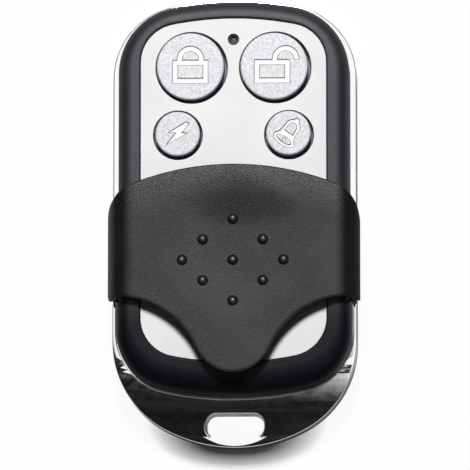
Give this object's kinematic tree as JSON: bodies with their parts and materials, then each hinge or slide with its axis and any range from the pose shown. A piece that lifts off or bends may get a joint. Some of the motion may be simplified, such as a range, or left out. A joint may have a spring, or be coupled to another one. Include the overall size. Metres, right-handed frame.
{
  "type": "alarm key fob",
  "caption": "Flat alarm key fob with round sign buttons on a silver face, a cover that slides over them, a bright ring frame and a key-ring slot in its tail.",
  "frame": {"origin": "centre of the back face, midway along the fob's length and width", "axes": "+X to the right across the face, +Y towards the lamp end, +Z out of the face"},
  "size_m": [0.0336, 0.06, 0.0134],
  "materials": {
    "chrome": "mirror bright plating",
    "bezel": "satin black",
    "plate": "fine brushed",
    "adhesive": "clear film",
    "back": "fine textured",
    "steel": "plain bright",
    "cover": "fine textured",
    "board": "lacquered",
    "lens": "clear",
    "tinned": "tinned",
    "chip": "moulded",
    "can": "satin",
    "battery": "printed wrap",
    "spring": "plated",
    "cap": "silver sparkle paint",
    "plunger": "moulded"
  },
  "bodies": {
    "case": {"chrome_frame": "chrome", "front_bezel": "bezel", "face_plate": "plate", "plate_adhesive": "adhesive", "back_cover": "back", "case_screws": "steel", "circuit_board": "board", "status_led": "lens", "led_leads": "tinned", "encoder_chip": "chip", "encoder_pins": "tinned", "resonator": "can", "transmit_transistor": "chip", "transistor_pins": "tinned", "chip_resistors": "chip", "battery": "battery", "battery_cap": "steel", "positive_contact": "spring", "negative_contact": "spring", "lock_switch_base": "chip", "lock_switch_shell": "steel", "lock_switch_dome": "spring", "unlock_switch_base": "chip", "unlock_switch_shell": "steel", "unlock_switch_dome": "spring", "bolt_switch_base": "chip", "bolt_switch_shell": "steel", "bolt_switch_dome": "spring", "bell_switch_base": "chip", "bell_switch_shell": "steel", "bell_switch_dome": "spring"},
    "cover": {"slide_cover": "cover"},
    "lock_press": {"lock_button": "cap", "lock_switch_plunger": "plunger"},
    "unlock_press": {"unlock_button": "cap", "unlock_switch_plunger": "plunger"},
    "bolt_press": {"bolt_button": "cap", "bolt_switch_plunger": "plunger"},
    "bell_press": {"bell_button": "cap", "bell_switch_plunger": "plunger"}
  },
  "joints": [
    {"name": "cover_slide", "type": "slide", "parent": "case", "child": "cover", "axis": [0, 1, 0], "range_m": [0, 0.018]},
    {"name": "lock_button_press", "type": "slide", "parent": "case", "child": "lock_press", "axis": [0, 0, -1], "range_m": [0, 0.0004], "stiffness_N_per_m": 400, "deforming": ["lock_switch_dome"]},
    {"name": "unlock_button_press", "type": "slide", "parent": "case", "child": "unlock_press", "axis": [0, 0, -1], "range_m": [0, 0.0004], "stiffness_N_per_m": 400, "deforming": ["unlock_switch_dome"]},
    {"name": "bolt_button_press", "type": "slide", "parent": "case", "child": "bolt_press", "axis": [0, 0, -1], "range_m": [0, 0.0004], "stiffness_N_per_m": 400, "deforming": ["bolt_switch_dome"]},
    {"name": "bell_button_press", "type": "slide", "parent": "case", "child": "bell_press", "axis": [0, 0, -1], "range_m": [0, 0.0004], "stiffness_N_per_m": 400, "deforming": ["bell_switch_dome"]}
  ]
}
